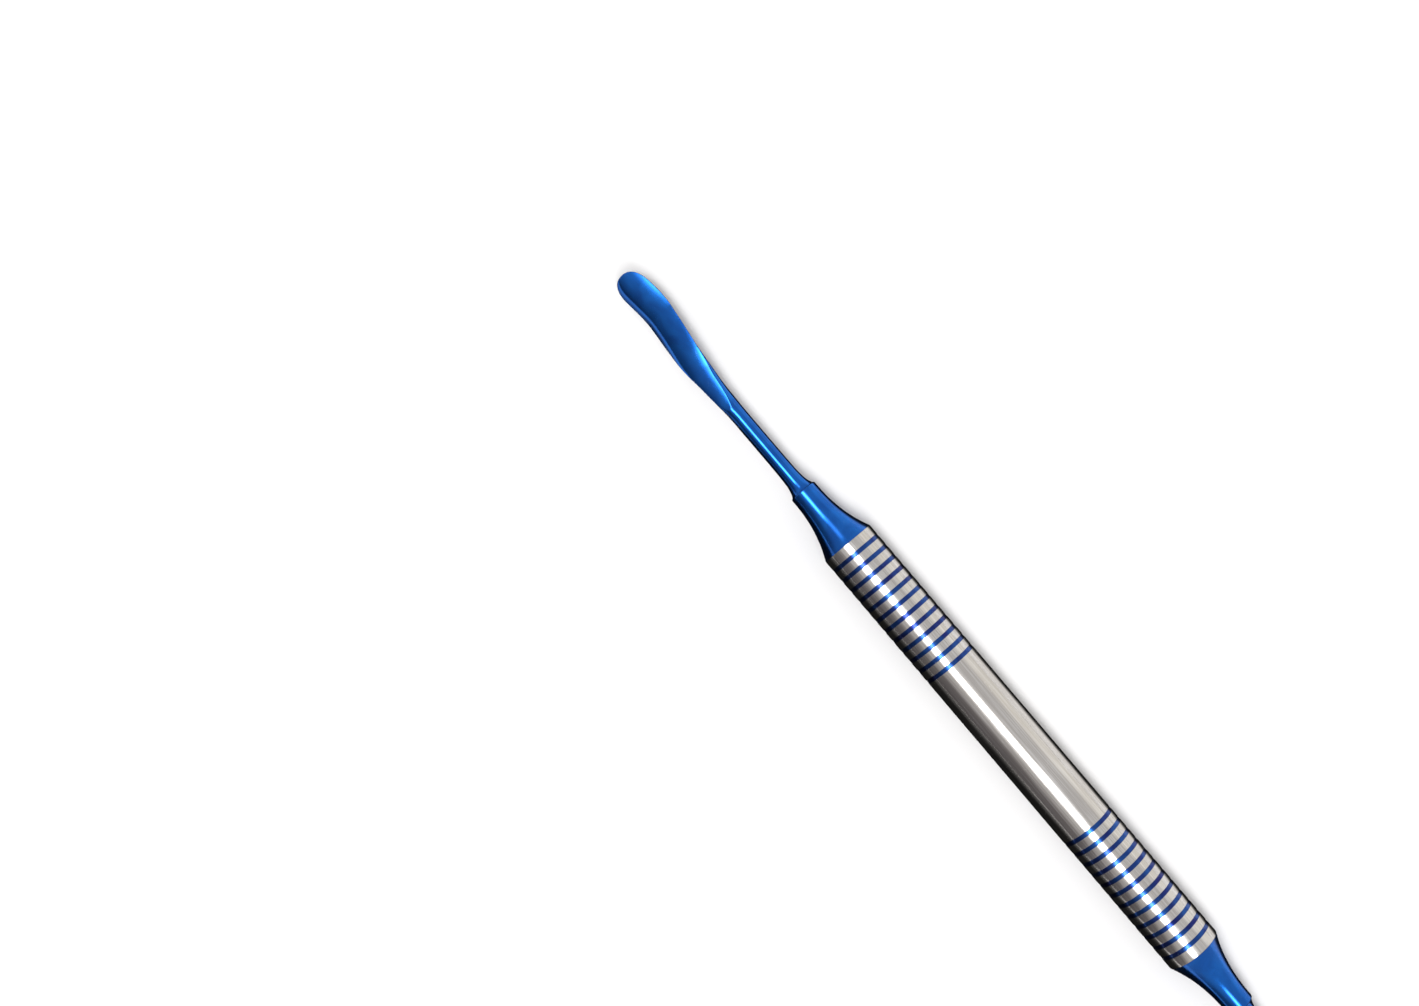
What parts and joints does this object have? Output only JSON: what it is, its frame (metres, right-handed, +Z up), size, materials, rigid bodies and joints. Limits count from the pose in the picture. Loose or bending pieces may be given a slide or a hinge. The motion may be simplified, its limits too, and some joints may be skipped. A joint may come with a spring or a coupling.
{
  "type": "sculpting spatula",
  "caption": "Double-ended sculpting spatula with a banded hollow steel handle, flared blue cones and a long, slanting ground blade at each end.",
  "frame": {"origin": "on the table, under the middle of the handle", "axes": "+X along the handle towards the front blade, +Y across it, +Z up from the table"},
  "size_m": [0.171, 0.008, 0.008],
  "materials": {
    "polished_steel": "polished stainless steel with fine lengthwise lines",
    "blue_coating": "glossy metallic blue coating on polished steel",
    "groove_blue": "deep blue coating left in the turned grooves"
  },
  "bodies": {
    "root": {"handle_tube": "polished_steel", "front_cone": "blue_coating", "front_blade_tip": "blue_coating", "front_grip_band_01": "groove_blue", "front_grip_band_02": "groove_blue", "front_grip_band_03": "groove_blue", "front_grip_band_04": "groove_blue", "front_grip_band_05": "groove_blue", "front_grip_band_06": "groove_blue", "front_grip_band_07": "groove_blue", "front_grip_band_08": "groove_blue", "front_grip_band_09": "groove_blue", "front_grip_band_10": "groove_blue", "front_grip_band_11": "groove_blue", "front_grip_band_12": "groove_blue", "rear_cone": "blue_coating", "rear_blade_tip": "blue_coating", "rear_grip_band_01": "groove_blue", "rear_grip_band_02": "groove_blue", "rear_grip_band_03": "groove_blue", "rear_grip_band_04": "groove_blue", "rear_grip_band_05": "groove_blue", "rear_grip_band_06": "groove_blue", "rear_grip_band_07": "groove_blue", "rear_grip_band_08": "groove_blue", "rear_grip_band_09": "groove_blue", "rear_grip_band_10": "groove_blue", "rear_grip_band_11": "groove_blue", "rear_grip_band_12": "groove_blue"}
  },
  "joints": []
}
